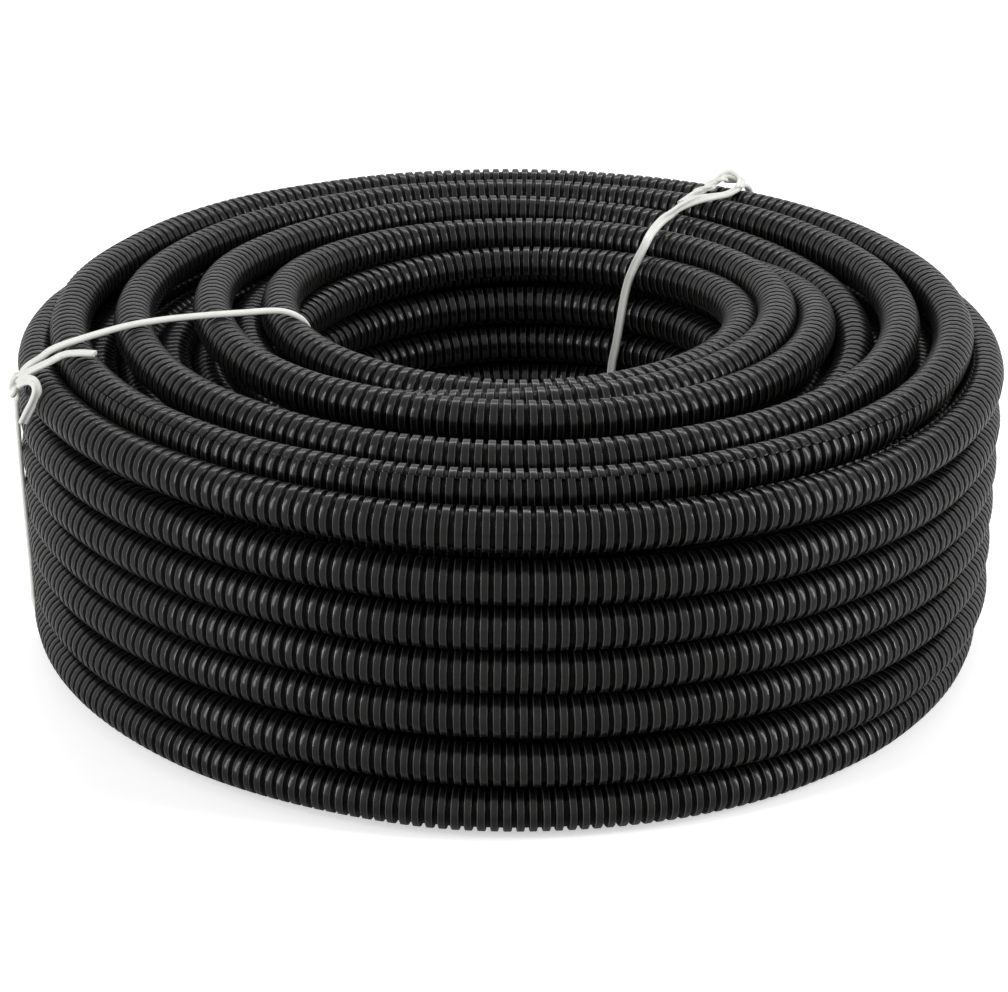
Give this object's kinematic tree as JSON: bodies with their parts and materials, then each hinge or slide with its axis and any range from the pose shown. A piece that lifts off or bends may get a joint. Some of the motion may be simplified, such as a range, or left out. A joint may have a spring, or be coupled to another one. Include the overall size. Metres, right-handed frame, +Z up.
{
  "type": "corrugated conduit",
  "caption": "Round coil of flexible corrugated split conduit with an open eye, held across its winding by twisted twin-wire ties.",
  "frame": {"origin": "on the floor, on the axis of the coil", "axes": "+Z up along the axis of the coil, which lies flat; -Y towards the viewer, +X to the viewer's right"},
  "size_m": [0.3266, 0.3224, 0.1176],
  "materials": {
    "conduit": "black polyethylene with a soft sheen",
    "tie": "smooth off-white plastic over wire"
  },
  "bodies": {
    "root": {"conduit": "conduit", "tie_rear": "tie", "tie_left": "tie"}
  },
  "joints": []
}
